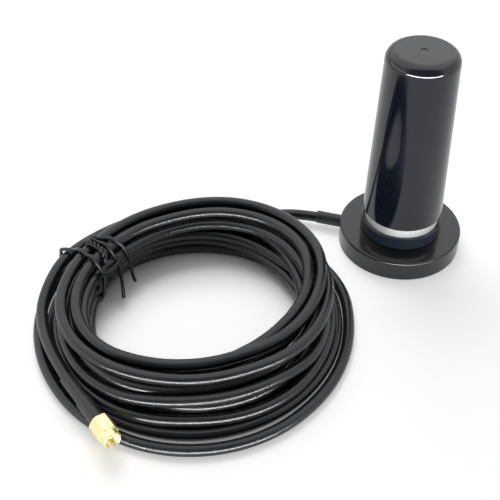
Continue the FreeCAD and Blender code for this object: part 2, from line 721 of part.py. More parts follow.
def plug_body():
    """Turned body of the plug: stem for the braid, flange, neck with a groove, and mating tube."""
    groove_radius = PLUG_NECK_RADIUS - SNAP_GROOVE_DEPTH
    outline = [
        (DIELECTRIC_RADIUS, FERRULE_REAR),
        (STEM_RADIUS, FERRULE_REAR),
        (STEM_RADIUS, FLANGE_REAR),
        (FERRULE_RADIUS, FLANGE_REAR),
        (FERRULE_RADIUS, -RUNNING_CLEARANCE),
        (PLUG_NECK_RADIUS, -RUNNING_CLEARANCE),
        (PLUG_NECK_RADIUS, GROOVE_LOW),
        (groove_radius, GROOVE_LOW),
        (groove_radius, GROOVE_HIGH),
        (PLUG_NECK_RADIUS, GROOVE_HIGH),
        (PLUG_NECK_RADIUS, GASKET_FACE),
        (MATING_TUBE_RADIUS, GASKET_FACE),
        (MATING_TUBE_RADIUS, MATING_TUBE_END),
        (MATING_TUBE_BORE_RADIUS, MATING_TUBE_END),
        (MATING_TUBE_BORE_RADIUS, -RUNNING_CLEARANCE),
        (DIELECTRIC_RADIUS, -RUNNING_CLEARANCE),
    ]
    return on_plug_axis(turned(outline))


def snap_ring():
    """Split wire ring in the groove of the neck, which holds the nut on."""
    inner = PLUG_NECK_RADIUS - SNAP_GROOVE_DEPTH + FIT
    body = ring(inner, SNAP_RING_RADIUS, GROOVE_LOW + FIT, GROOVE_LOW + FIT + SNAP_RING_THICKNESS)
    gap = Part.makeBox(2 * SNAP_RING_RADIUS, SNAP_RING_THICKNESS, 2 * GROOVE_HIGH)
    gap.translate(FreeCAD.Vector(0, -SNAP_RING_THICKNESS / 2, 0))
    return on_plug_axis(body.cut(gap))


def plug_gasket():
    """Rubber ring against which the mating socket seals."""
    high = GASKET_FACE + GASKET_THICKNESS
    return on_plug_axis(ring(MATING_TUBE_RADIUS, GASKET_RADIUS, GASKET_FACE, high))


def plug_insulator():
    """White insulator round the plug's centre pin."""
    outer = MATING_TUBE_BORE_RADIUS - FIT / 2
    return on_plug_axis(ring(PIN_CUP_RADIUS + FIT / 2, outer, 0, PLUG_INSULATOR_END))


def plug_pin():
    """Gold centre pin: a cup for the cable's core, a collar in the insulator and a tapered point."""
    cup_end = PLUG_INSULATOR_END - PIN_POINT
    outline = [
        (0, -PIN_POINT),
        (PIN_CUP_RADIUS, -PIN_POINT),
        (PIN_CUP_RADIUS, cup_end),
        (PIN_RADIUS, cup_end),
        (PIN_RADIUS, PIN_END - PIN_POINT),
        (PIN_RADIUS / 2, PIN_END),
        (0, PIN_END),
    ]
    return on_plug_axis(turned(outline))


def crimp_ferrule():
    """Metal sleeve crimped over the braid: its middle is pressed to a hexagon, its ends stay round."""
    sleeve = ring(STEM_RADIUS, FERRULE_RADIUS, FERRULE_REAR, FLANGE_REAR)
    low = FERRULE_REAR + FERRULE_ROUND_END
    high = FLANGE_REAR - FERRULE_ROUND_END
    pressed_away = ring(0, 2 * FERRULE_RADIUS, low, high).cut(hexagon(FERRULE_ACROSS_FLATS, low, high))
    return on_plug_axis(sleeve.cut(pressed_away))


def plug_sleeve():
    """Heat-shrunk tube over the ferrule and the end of the cable."""
    rear = -HEAT_SHRINK_LENGTH
    front = -4 * RUNNING_CLEARANCE
    slope = 2 * HEAT_SHRINK_WALL
    outline = [
        (CABLE_RADIUS + FIT, rear),
        (CABLE_RADIUS + FIT + HEAT_SHRINK_WALL, rear),
        (CABLE_RADIUS + FIT + HEAT_SHRINK_WALL, FERRULE_REAR - slope),
        (FERRULE_RADIUS + FIT + HEAT_SHRINK_WALL, FERRULE_REAR),
        (FERRULE_RADIUS + FIT + HEAT_SHRINK_WALL, front),
        (FERRULE_RADIUS + FIT, front),
        (FERRULE_RADIUS + FIT, FERRULE_REAR),
        (CABLE_RADIUS + FIT, FERRULE_REAR - slope),
    ]
    return on_plug_axis(turned(outline))


PIECES = [
    base_shell, base_pad, ring_magnet, pole_plate, mount_stud, mount_thread, mount_insulator, mount_contact,
    seal_ring, collar, coupling_ring, contact_disc, contact_barrel, contact_plunger, contact_spring,
    radome, circuit_board, board_copper, foam_spacer,
    cable_inner, cable_sleeve, cable_lead, cable_coil, cable_end, wire_tie,
    coupling_nut, plug_body, snap_ring, plug_gasket, plug_insulator, plug_pin, crimp_ferrule, plug_sleeve,
]

os.makedirs("parts", exist_ok=True)
for piece in PIECES:
    shape = piece()
    name = piece.__name__
    box = shape.BoundBox
    print("%-16s solids %d valid %s volume %9.1f  z %.2f to %.2f" % (
        name, len(shape.Solids), shape.isValid(), shape.Volume, box.ZMin, box.ZMax))
    shape.exportStep("parts/%s.step" % name)
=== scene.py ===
import json
import math

import bpy
import numpy as np
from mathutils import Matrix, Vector


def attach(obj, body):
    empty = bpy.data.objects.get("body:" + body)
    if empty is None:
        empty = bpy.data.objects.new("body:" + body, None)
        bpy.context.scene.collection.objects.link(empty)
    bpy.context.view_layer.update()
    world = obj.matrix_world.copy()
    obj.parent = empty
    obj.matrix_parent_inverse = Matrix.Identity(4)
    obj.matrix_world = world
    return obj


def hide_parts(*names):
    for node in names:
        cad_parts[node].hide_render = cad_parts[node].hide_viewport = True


# A cellular antenna on its magnetic base, with its cable wound into a tied bundle and a gilt plug.
# Metres, with the antenna's axis on Z. Lists of places on the bundle are in millimetres and degrees.
MM = 0.001
UP = np.array([0, 0, 1.0])

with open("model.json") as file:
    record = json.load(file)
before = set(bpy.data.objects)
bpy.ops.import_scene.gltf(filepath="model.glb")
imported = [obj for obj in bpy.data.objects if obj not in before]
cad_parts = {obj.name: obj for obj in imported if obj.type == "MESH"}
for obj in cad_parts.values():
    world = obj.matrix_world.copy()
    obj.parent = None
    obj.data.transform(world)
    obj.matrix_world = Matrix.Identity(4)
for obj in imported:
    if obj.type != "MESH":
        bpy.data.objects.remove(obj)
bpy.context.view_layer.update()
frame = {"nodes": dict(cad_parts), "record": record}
nodes = frame["nodes"]
materials = {}

# Cable: its measures, its free lead and end, and the steps of its length and of its round
CABLE_DIAMETER = 0.005
CABLE_EXIT = (-0.027255, 0.008333, 0.005)
LEAD_ROUTE = [
    CABLE_EXIT,
    (-0.045903, 0.014034, 0.0050),
    (-0.0630, 0.0159, 0.0026),
    (-0.0810, 0.0134, 0.0026),
]
END_ROUTE = [
    (-0.1244, -0.0044, 0.0168),
    (-0.1408, -0.0138, 0.0158),
    (-0.1550, -0.0280, 0.0150),
    (-0.1608, -0.0432, 0.0120),
    (-0.1622, -0.0600, 0.0088),
    (-0.152172, -0.085255, 0.0099),
    (-0.136841, -0.106748, 0.0099),
]
CABLE_LENGTH_STEPS = 6
CABLE_ROUND_STEPS = 7

# Wound bundle: the middle of its turns, the number of points in a turn, the bearings at which the winding
# starts and ends, and where each turn lies round the middle. Each place is (bearing in degrees, distance
# from the middle, height), and each row is one turn.
BUNDLE_CENTRE = (-0.0954, -0.0573)
STATIONS = 24
FIRST_BEARING = 90
LAST_BEARING = 105
TURNS = [
    [(87, 66.5, 2.5), (110, 64.6, 2.5), (130, 65.4, 2.5), (150, 69.4, 2.5), (165, 69.5, 2.5),
     (183, 68.2, 2.5), (210, 66.5, 2.5), (235, 66.9, 2.5), (260, 68.0, 2.5), (290, 68.2, 2.5),
     (320, 67.1, 2.5), (345, 67.0, 2.5)],
    [(0, 67.4, 2.5), (20, 69.2, 2.5), (40, 67.5, 2.5), (65, 64.0, 2.5), (90, 61.3, 2.5),
     (120, 59.6, 2.5), (150, 64.0, 2.5), (180, 62.9, 2.5), (225, 61.2, 2.5), (260, 60.5, 2.5),
     (320, 61.0, 2.5)],
    [(0, 62.3, 2.5), (25, 63.6, 2.5), (60, 59.2, 2.5), (90, 56.3, 2.5), (120, 54.5, 2.5),
     (180, 57.2, 2.5), (240, 56.0, 2.5), (300, 55.6, 2.5)],
    [(0, 55.5, 2.5), (35, 51.9, 2.5), (100, 49.3, 2.5), (170, 49.1, 2.5), (270, 50.3, 2.5)],
    [(0, 51.8, 5.4), (12, 54.0, 7.4), (35, 57.5, 7.2), (90, 61.0, 7.2), (180, 59.8, 7.0),
     (210, 59.2, 6.9), (243, 59.5, 7.0), (267, 57.0, 6.9), (284, 57.9, 6.9), (316, 59.5, 7.0),
     (340, 58.5, 7.0)],
    [(0, 58.5, 7.2), (15, 58.0, 9.5), (35, 54.5, 11.0), (60, 55.2, 8.5), (90, 55.5, 7.2),
     (180, 55.5, 7.0), (270, 49.8, 6.7)],
    [(0, 49.5, 7.6), (30, 48.5, 7.3), (90, 49.8, 7.5), (180, 46.5, 6.4), (245, 44.0, 7.6),
     (270, 40.0, 10.4), (285, 38.8, 10.8), (305, 38.0, 11.1), (325, 42.0, 10.5), (345, 46.5, 9.0)],
    [(0, 49.0, 11.0), (25, 50.0, 12.5), (60, 54.5, 13.0), (90, 57.5, 11.8), (180, 57.0, 12.0),
     (228, 56.8, 11.8), (242, 55.3, 12.2), (255, 54.1, 14.2), (270, 53.4, 14.8), (299, 53.9, 14.8),
     (314, 54.6, 14.2), (335, 55.6, 11.6)],
    [(0, 54.5, 12.0), (26, 50.9, 12.2), (73, 48.4, 12.5), (180, 46.7, 10.9), (235, 49.5, 9.8),
     (255, 52.0, 9.7), (266, 52.9, 10.1), (292, 53.6, 10.2), (306, 54.2, 10.4), (320, 54.0, 10.6)],
    [(0, 52.4, 15.2), (20, 54.6, 16.8), (90, 55.0, 16.8), (180, 52.2, 16.0), (235, 53.0, 15.6),
     (250, 52.2, 15.3), (266, 49.7, 15.3), (280, 48.7, 15.3), (298, 48.8, 15.4), (314, 50.2, 15.6),
     (335, 51.2, 15.9)],
    [(0, 53.0, 16.3), (20, 51.2, 18.2), (45, 51.7, 18.0), (90, 48.2, 17.5), (113, 45.4, 17.2),
     (136, 44.6, 17.0), (158, 46.4, 16.2), (189, 48.2, 15.6), (250, 42.0, 15.2), (303, 36.3, 15.8),
     (320, 38.2, 16.8)],
    [(-23, 41.1, 17.9), (-5, 46.9, 20.2), (17, 51.6, 21.8), (40, 55.3, 22.6), (64, 54.1, 22.8),
     (89, 50.8, 22.5), (114, 47.9, 22.3), (139, 48.0, 21.7), (162, 49.4, 20.8), (183, 50.5, 20.2),
     (214, 48.6, 20.3), (241, 43.4, 20.4), (271, 40.4, 20.6), (293, 40.1, 20.6), (317, 43.3, 20.5)],
    [(-25, 47.3, 20.7), (-4, 52.5, 21.0), (18, 58.3, 22.2), (40, 61.6, 23.1), (64, 61.1, 23.3),
     (89, 58.1, 23.0), (114, 55.2, 22.7), (138, 54.9, 21.7), (161, 55.6, 20.8), (182, 56.6, 20.2),
     (212, 54.8, 20.2), (239, 50.5, 20.0), (264, 48.0, 19.9), (290, 48.0, 20.0), (319, 52.3, 20.3),
     (340, 55.2, 20.3)],
    [(0, 57.5, 20.0), (30, 60.5, 18.0), (60, 62.0, 17.0), (105, 60.9, 16.8)],
]

# How the turns settle on each other: the number of rounds and the share of them that counts as early, how
# much of a push is taken, and how far a move is smoothed and how much of it is kept, early and late
ROUNDS = 300
EARLY_SHARE = 0.85
PUSH_TAKEN = 0.6
EARLY_SMOOTHED, EARLY_KEPT = 0.2, 0.95
LATE_SMOOTHED, LATE_KEPT = 0.06, 0.99
LEAST_LENGTH = 1e-6

# Wire tie: its wire, where it passes under the bundle, over how many degrees and how far it lifts the
# turns there, and its closed loop, its strands and its twist as (distance, bearing, height)
TIE_RADIUS = 0.0008
TIE_BEARING = 149
TIE_SPREAD = 16
TIE_LIFT = 1.5
TIE_LOOP = [
    (58.0, 156, 0.95), (68.0, 153, 0.95), (72.9, 152, 3.2), (72.6, 152, 6.2), (71.2, 152, 10.0),
    (70.4, 152, 13.6), (68.9, 153, 17.2), (66.0, 153, 18.6), (62.0, 153, 19.8), (57.6, 155, 23.6),
    (54.5, 156, 24.8), (51.8, 157, 24.3), (48.5, 158, 24.8), (45.6, 160, 23.3), (43.2, 161, 20.2),
    (42.0, 162, 16.6), (42.2, 163, 12.0), (42.8, 163, 8.0), (44.6, 164, 4.2), (48.0, 163, 1.2),
]
TIE_STRANDS = [
    [(58.0, 141, 0.85), (66.0, 140, 0.85), (69.8, 139, 1.8), (70.3, 139, 4.2), (67.6, 139, 6.9),
     (63.9, 140, 8.6), (60.9, 141, 12.4), (59.6, 142, 16.4), (58.6, 143, 20.0), (57.2, 144, 23.4),
     (55.2, 145, 24.9), (53.0, 145, 24.8), (49.6, 142, 25.1), (45.6, 141, 24.2), (42.8, 139, 20.5),
     (40.8, 139, 16.2), (39.6, 139, 12.2), (38.2, 140, 8.4), (36.0, 141, 5.6)],
    [(58.0, 146, 0.85), (67.0, 146, 0.85), (71.0, 146, 1.8), (71.5, 146, 4.2), (68.8, 146, 7.0),
     (64.2, 146, 8.9), (61.2, 146, 12.2), (60.3, 147, 16.2), (58.8, 147, 19.8), (57.4, 147, 23.2),
     (55.4, 147, 24.7), (52.0, 147, 24.4), (48.8, 147, 24.9), (45.2, 147, 23.2), (43.2, 147, 20.0),
     (41.8, 146, 15.8), (41.0, 147, 12.0), (38.6, 150, 7.8), (35.0, 158, 4.6)],
    [(43.6, 160, 19.4), (41.8, 156, 17.4), (41.3, 151, 16.9), (41.9, 146, 17.6)],
]
TIE_TWIST = [
    (57.2, 150, 24.0), (54.8, 150, 25.2), (51.4, 150, 24.7), (47.2, 151, 24.8), (43.8, 154, 21.0),
]
TIE_TWIST_TURNS = 3.5

# The twist's two wires: how far each lies from the twist's middle, and its radius. Then the steps along
# a strand and along the twist, and the sides of a wire
TWISTED_OFFSET = 0.85 * TIE_RADIUS
TWISTED_RADIUS = 0.8 * TIE_RADIUS
STRAND_STEPS = 150
TWIST_STEPS = 90
WIRE_SIDES = 14

# Plug: a point on its axis, the bearing of that axis, and the turn that lays Z along it
PLUG_REAR = (-0.1296, -0.1169, 0.0099)
PLUG_BEARING = -54.5
PLUG_TURN = (0.0, math.pi / 2, math.radians(PLUG_BEARING))

# Thread inside the nose of the plug's nut: its pitch, its two radii, where it runs along the axis, half
# the width of its foot, the turns over which it fades at each end, and its steps in a turn
THREAD_PITCH = 0.000706
THREAD_ROOT = 0.00296
THREAD_CREST = 0.00272
THREAD_START = 0.0059
THREAD_END = 0.0106
THREAD_HALF_WIDTH = 0.42 * THREAD_PITCH
THREAD_FADE = 0.5
THREAD_STEPS = 40

# Edges of drawn pieces that are sharper than this are not smoothed
SHARP_EDGE = math.radians(50)

# The values between which a noise mostly stays
NOISE_LEAST, NOISE_MOST = 0.35, 0.65

# Floor: its half width, its colour as light meets it and as it is seen, the distances between which it
# fades into the background, and the ring round the bundle outside which it glows, and by how much
FLOOR_REACH = 6.0
FLOOR_LIT = (0.8, 0.8, 0.8)
FLOOR_SEEN = (1.34, 1.34, 1.34)
FADE_START, FADE_END = 0.45, 0.9
RING_INNER, RING_OUTER = 0.055, 0.075
RING_GLOW = 0.5

# Surroundings: their strength as light on the object and as they are seen, the direction of their front,
# how near to it a reflection points where they begin to dim and where they are dimmest, and their
# strength there
SURROUNDINGS_LIT = 0.16
SURROUNDINGS_SEEN = 1.0
FRONT = (0.0, -0.87, 0.5)
DIM_START, DIM_END = 0.45, 0.85
DIM_STRENGTH = 0.2

# The point that the lamps are turned towards
OBJECT_MIDDLE = (-0.06, -0.03, 0.03)

# Camera: its sensor and lens in millimetres, its place, and its turn up from looking straight down
SENSOR = 36
LENS = 67.32
CAMERA_PLACE = (-0.07155, -0.33945, 0.29995)
CAMERA_TURN = math.radians(47.92)


def on_bundle(places):
    """Points in space from (distance, bearing, height) places round the bundle's middle."""
    distance, bearing, height = np.array(places, float).T
    turn = np.radians(bearing)
    x = BUNDLE_CENTRE[0] + distance * MM * np.cos(turn)
    y = BUNDLE_CENTRE[1] + distance * MM * np.sin(turn)
    return np.column_stack([x, y, height * MM])


def through(bearing, value, wanted):
    """A smooth curve through values at rising bearings: cubic spans whose slopes never overshoot.

    The slope at a value is the harmonic mean of the slopes on its two sides, or none where they differ
    in sign.
    """
    slope = np.diff(value) / np.diff(bearing)
    before, after = slope[:-1], slope[1:]
    same_way = before * after > 0
    total = np.where(same_way, before + after, 1)
    inner = np.where(same_way, 2 * before * after / total, 0)
    tangent = np.concatenate([slope[:1], inner, slope[-1:]])
    span = np.clip(np.searchsorted(bearing, wanted, "right") - 1, 0, len(bearing) - 2)
    width = bearing[span + 1] - bearing[span]
    t = (wanted - bearing[span]) / width
    start = (2 * t ** 3 - 3 * t ** 2 + 1) * value[span] + (t ** 3 - 2 * t ** 2 + t) * width * tangent[span]
    end = (3 * t ** 2 - 2 * t ** 3) * value[span + 1] + (t ** 3 - t ** 2) * width * tangent[span + 1]
    return start + end


def settled(bearing, distance, height):
    """The turns pushed apart in each upright plane through the middle until they lie a diameter apart.

    Each round moves every pair of turns that is too close by half of what is missing, along the line
    between them. The moves are then smoothed along the winding and drawn back a little to where the
    turn was laid. No turn sinks below the floor, or into the tie that passes under the bundle.
    """
    gap = CABLE_DIAMETER / MM
    station = np.round(bearing * STATIONS / 360).astype(int)
    turn = station // STATIONS
    plane = station % STATIONS
    laid = np.column_stack([distance, height])
    place = laid.copy()
    aside = (bearing % 360 - TIE_BEARING) / TIE_SPREAD
    floor = gap / 2 + TIE_LIFT * np.exp(-aside ** 2)
    for number in range(ROUNDS):
        late = number > EARLY_SHARE * ROUNDS
        grid = np.full((turn.max() + 1, STATIONS, 2), np.nan)
        grid[turn, plane] = place
        apart = grid[:, None] - grid[None]
        length = np.sqrt((apart ** 2).sum(-1))
        length[np.arange(len(grid)), np.arange(len(grid))] = np.nan
        lack = np.where(length < gap, (gap - length) / 2, 0)
        push = np.nansum(lack[..., None] * apart / np.maximum(length, LEAST_LENGTH)[..., None], axis=1)
        move = place + PUSH_TAKEN * push[turn, plane] - laid
        middle = move.copy()
        middle[1:-1] = (move[:-2] + move[2:]) / 2
        move += (LATE_SMOOTHED if late else EARLY_SMOOTHED) * (middle - move)
        move *= LATE_KEPT if late else EARLY_KEPT
        place = laid + move
        place[:, 1] = np.maximum(place[:, 1], floor)
    return place[:, 0], place[:, 1]


def wound_turns():
    """Points of the winding, evenly spaced round the bundle: a loop over the rows of TURNS lays them."""
    laid = np.array([
        (bearing + 360 * turn, distance, height)
        for turn, row in enumerate(TURNS)
        for bearing, distance, height in row
    ])
    last = 360 * (len(TURNS) - 1) + LAST_BEARING
    bearing = np.arange(FIRST_BEARING, last, 360 / STATIONS)
    distance = through(laid[:, 0], laid[:, 1], bearing)
    height = through(laid[:, 0], laid[:, 2], bearing)
    distance, height = settled(bearing, distance, height)
    return on_bundle(np.column_stack([distance, bearing, height]))


def spline_curve(name, points, radius):
    """A round cord along one open spline whose control points are the given points."""
    curve = bpy.data.curves.new(name, "CURVE")
    curve.dimensions = "3D"
    spline = curve.splines.new("NURBS")
    spline.points.add(len(points) - 1)
    spline.points.foreach_set("co", np.column_stack([points, np.ones(len(points))]).ravel())
    spline.order_u = 3
    spline.use_endpoint_u = True
    spline.resolution_u = CABLE_LENGTH_STEPS
    curve.bevel_depth = radius
    curve.bevel_resolution = CABLE_ROUND_STEPS
    curve.use_fill_caps = True
    piece = bpy.data.objects.new(name, curve)
    bpy.context.scene.collection.objects.link(piece)
    return piece


def joined_mesh(name, parts):
    """One smooth mesh of several grids of points, each closed round its second parameter."""
    points = []
    faces = []
    start = 0
    for grid in parts:
        rings, sides = grid.shape[:2]
        index = start + np.arange(rings * sides).reshape(rings, sides)
        beside = np.roll(index, -1, axis=1)
        quads = np.stack([index[:-1], beside[:-1], beside[1:], index[1:]], axis=-1).reshape(-1, 4)
        points.append(grid.reshape(-1, 3))
        faces += quads.tolist()
        faces += [index[0, ::-1].tolist(), index[-1].tolist()]
        start += rings * sides
    mesh = bpy.data.meshes.new(name)
    mesh.from_pydata(np.vstack(points), [], faces)
    mesh.shade_smooth()
    mesh.set_sharp_from_angle(angle=SHARP_EDGE)
    piece = bpy.data.objects.new(name, mesh)
    bpy.context.scene.collection.objects.link(piece)
    return piece


def smooth_path(places, count):
    """Evenly numbered points on a smooth curve through the given points, by their distance along it."""
    run = np.linalg.norm(np.diff(places, axis=0), axis=1)
    along = np.concatenate([[0], np.cumsum(run)])
    wanted = np.linspace(0, along[-1], count)
    return np.column_stack([through(along, places[:, axis], wanted) for axis in range(3)])


def frames(path):
    """Unit vectors across a path, turned as little as possible from each point to the next."""
    tangent = np.gradient(path, axis=0)
    tangent /= np.linalg.norm(tangent, axis=1)[:, None]
    side = np.cross(tangent[0], UP)
    sides = []
    for heading in tangent:
        side = side - heading * side.dot(heading)
        side = side / np.linalg.norm(side)
        sides.append(side)
    sides = np.array(sides)
    return sides, np.cross(tangent, sides)


def wire_grid(path, radius):
    """A round wire: a circle carried along a path, with its plane across the path."""
    across, upward = frames(path)
    turn = np.linspace(0, 2 * math.pi, WIRE_SIDES, endpoint=False)[None, :, None]
    return path[:, None] + radius * (np.cos(turn) * across[:, None] + np.sin(turn) * upward[:, None])


def plug_axes():
    """The plug's axis and two directions across it."""
    turn = math.radians(PLUG_BEARING)
    axis = np.array([math.cos(turn), math.sin(turn), 0])
    across = np.array([-math.sin(turn), math.cos(turn), 0])
    return axis, across, UP


def shade(red, green, blue):
    """A colour with full opacity."""
    return (red, green, blue, 1.0)


def add_node(tree, kind, inputs=None, **settings):
    """A shader node with its settings, and its inputs given as values or joined to other sockets."""
    made = tree.nodes.new(kind)
    for name, value in settings.items():
        setattr(made, name, value)
    for name, value in (inputs or {}).items():
        if isinstance(value, bpy.types.NodeSocket):
            tree.links.new(value, made.inputs[name])
        else:
            made.inputs[name].default_value = value
    return made


def arithmetic(tree, operation, *values):
    """The result of one step of arithmetic on values or sockets."""
    return add_node(tree, "ShaderNodeMath", dict(enumerate(values)), operation=operation).outputs[0]


def noise(tree, inputs, **settings):
    """A noise between 0 and 1, with its place, scale and detail."""
    return add_node(tree, "ShaderNodeTexNoise", inputs, **settings).outputs["Fac"]


def between(tree, kind, factor, first, second):
    """A colour or number that goes from the first to the second as the factor goes from 0 to 1."""
    inputs = {"Factor": factor, "A": first, "B": second}
    return add_node(tree, "ShaderNodeMix", inputs, data_type=kind).outputs["Result"]


def ranged(tree, value, least, most, low=0.0, high=1.0, rise="LINEAR"):
    """A number that goes from low to high as the value goes from least to most."""
    inputs = {"Value": value, "From Min": least, "From Max": most, "To Min": low, "To Max": high}
    return add_node(tree, "ShaderNodeMapRange", inputs, interpolation_type=rise).outputs["Result"]


def finish_group(name, scales):
    """An empty group for a finish: its inputs are a place, its own scales, and two glosses and colours."""
    group = bpy.data.node_groups.new(name, "ShaderNodeTree")
    group.interface.new_socket("Vector", in_out="INPUT", socket_type="NodeSocketVector")
    for label in scales + ["Gloss Low", "Gloss High"]:
        group.interface.new_socket(label, in_out="INPUT", socket_type="NodeSocketFloat")
    for label in ("Colour Low", "Colour High"):
        group.interface.new_socket(label, in_out="INPUT", socket_type="NodeSocketColor")
    group.interface.new_socket("Colour", in_out="OUTPUT", socket_type="NodeSocketColor")
    for label in ("Roughness", "Height"):
        group.interface.new_socket(label, in_out="OUTPUT", socket_type="NodeSocketFloat")
    return group, group.nodes.new("NodeGroupInput").outputs


def put_out(group, given, colour, gloss, height):
    """The group's outputs: colour and roughness between their two given values, and the relief's height."""
    put = group.nodes.new("NodeGroupOutput").inputs
    tint = between(group, "RGBA", colour, given["Colour Low"], given["Colour High"])
    roughness = ranged(group, gloss, NOISE_LEAST, NOISE_MOST, given["Gloss Low"], given["Gloss High"])
    group.links.new(tint, put["Colour"])
    group.links.new(roughness, put["Roughness"])
    group.links.new(height, put["Height"])
    return group


def moulded_skin():
    """Group: fine moulded texture, with broad faint marks from handling that change the gloss."""
    group, given = finish_group("moulded skin", ["Grain Scale", "Mark Scale"])
    grain = noise(group, {
        "Vector": given["Vector"], "Scale": given["Grain Scale"], "Detail": 3.0, "Roughness": 0.6})
    marks = noise(group, {
        "Vector": given["Vector"], "Scale": given["Mark Scale"], "Detail": 4.0, "Distortion": 0.6})
    return put_out(group, given, marks, marks, grain)


def turned_lines():
    """Group: fine rings left by a lathe round the Z axis of the vector, and smears along them.

    The rings are a noise of the distance from the axis plus the height along it.
    """
    group, given = finish_group("turned lines", ["Lines per Metre"])
    x, y, z = add_node(group, "ShaderNodeSeparateXYZ", {"Vector": given["Vector"]}).outputs
    squares = [arithmetic(group, "MULTIPLY", side, side) for side in (x, y)]
    distance = arithmetic(group, "SQRT", arithmetic(group, "ADD", *squares))
    along = arithmetic(group, "ADD", distance, z)
    count = arithmetic(group, "MULTIPLY", along, given["Lines per Metre"])
    lines = noise(group, {"W": count, "Scale": 1.0, "Detail": 2.0}, noise_dimensions="1D")
    smears = noise(group, {"Vector": given["Vector"], "Scale": 400.0, "Detail": 3.0})
    return put_out(group, given, smears, between(group, "FLOAT", 0.5, lines, smears), lines)


SKIN = moulded_skin()
LINES = turned_lines()


def finish_material(name, group, scales, colours, gloss, relief, centre=None, turn=None, **plain):
    """A material whose colour, gloss and relief come from a group placed with its own values.

    The values are the scales of its pattern, two colours, and the least and most roughness. Its relief
    has a strength and a depth. A centre and a turn place the pattern on the piece. Every other value
    is the same all over the surface, and is set on the shader.
    """
    material = bpy.data.materials.new(name)
    material.use_nodes = True
    tree = material.node_tree
    shader = tree.nodes["Principled BSDF"]
    for socket, value in plain.items():
        shader.inputs[socket.replace("_", " ")].default_value = value
    place = add_node(tree, "ShaderNodeTexCoord").outputs["Object"]
    if centre is not None:
        place = add_node(tree, "ShaderNodeMapping", {"Vector": place, "Location": centre, "Rotation": turn},
                         vector_type="TEXTURE").outputs["Vector"]
    skin = add_node(tree, "ShaderNodeGroup", node_tree=group)
    tree.links.new(place, skin.inputs["Vector"])
    low, high = colours
    values = {**scales, "Colour Low": shade(*low), "Colour High": shade(*high),
              "Gloss Low": gloss[0], "Gloss High": gloss[1]}
    for socket, value in values.items():
        skin.inputs[socket].default_value = value
    strength, depth = relief
    bump = add_node(tree, "ShaderNodeBump", {
        "Height": skin.outputs["Height"], "Strength": strength, "Distance": depth})
    tree.links.new(skin.outputs["Colour"], shader.inputs["Base Color"])
    tree.links.new(skin.outputs["Roughness"], shader.inputs["Roughness"])
    tree.links.new(bump.outputs["Normal"], shader.inputs["Normal"])
    materials[name] = material


def moulded(name, low, high, gloss, relief, grain=1800.0, marks=60.0, **plain):
    """A moulded finish, with the scales of its grain and of its marks."""
    scales = {"Grain Scale": grain, "Mark Scale": marks}
    finish_material(name, SKIN, scales, (low, high), gloss, relief, **plain)


def turned(name, low, high, gloss, relief, lines=9000.0, **plain):
    """A turned metal, with the number of its lines in a metre."""
    scales = {"Lines per Metre": lines}
    finish_material(name, LINES, scales, (low, high), gloss, relief, **plain)


